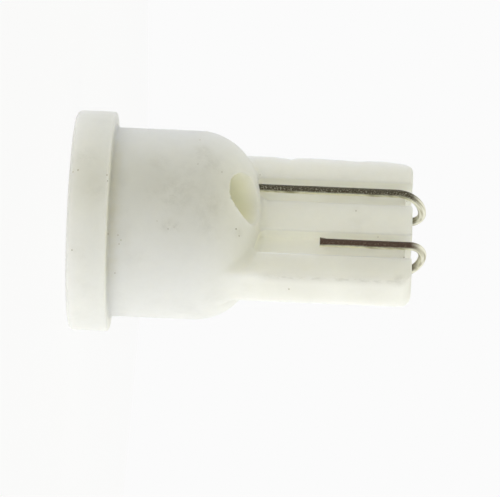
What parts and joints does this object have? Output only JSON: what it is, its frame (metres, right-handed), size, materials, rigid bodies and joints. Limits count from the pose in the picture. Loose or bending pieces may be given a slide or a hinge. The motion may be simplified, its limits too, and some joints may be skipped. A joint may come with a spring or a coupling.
{
  "type": "wedge base led bulb",
  "caption": "Small lamp with a moulded white body, a flat wedge base with wrapped lead wires, and surface-mounted lamps behind a round flange.",
  "frame": {"origin": "centre of the flange's front ring, on the surface that the bulb stands on", "axes": "+Z along the bulb's axis towards the wedge's end, X along the width of the wedge, Y through its thickness"},
  "size_m": [0.0116, 0.0116, 0.0187],
  "materials": {
    "shell": "matte moulded white plastic, slightly see-through in thin walls",
    "board": "white solder mask on glass laminate",
    "package": "matte white lamp package",
    "phosphor": "satin yellow phosphor in silicone",
    "plated_lead": "bright tin plating",
    "solder": "bright, slightly frosted solder",
    "resistor_body": "white ceramic with a black overcoat",
    "tinned_wire": "tinned copper, tarnished brown and grey on the outer side"
  },
  "bodies": {
    "root": {"housing": "shell", "board": "board", "lamp_1_package": "package", "lamp_2_package": "package", "lamp_3_package": "package", "lamp_4_package": "package", "lamp_1_phosphor": "phosphor", "lamp_2_phosphor": "phosphor", "lamp_3_phosphor": "phosphor", "lamp_4_phosphor": "phosphor", "lamp_1_leads": "plated_lead", "lamp_2_leads": "plated_lead", "lamp_3_leads": "plated_lead", "lamp_4_leads": "plated_lead", "lamp_1_solder": "solder", "lamp_2_solder": "solder", "lamp_3_solder": "solder", "lamp_4_solder": "solder", "resistor_1_body": "resistor_body", "resistor_2_body": "resistor_body", "resistor_1_caps": "plated_lead", "resistor_2_caps": "plated_lead", "lead_wire_1": "tinned_wire", "lead_wire_2": "tinned_wire", "wire_solder_1": "solder", "wire_solder_2": "solder"}
  },
  "joints": []
}
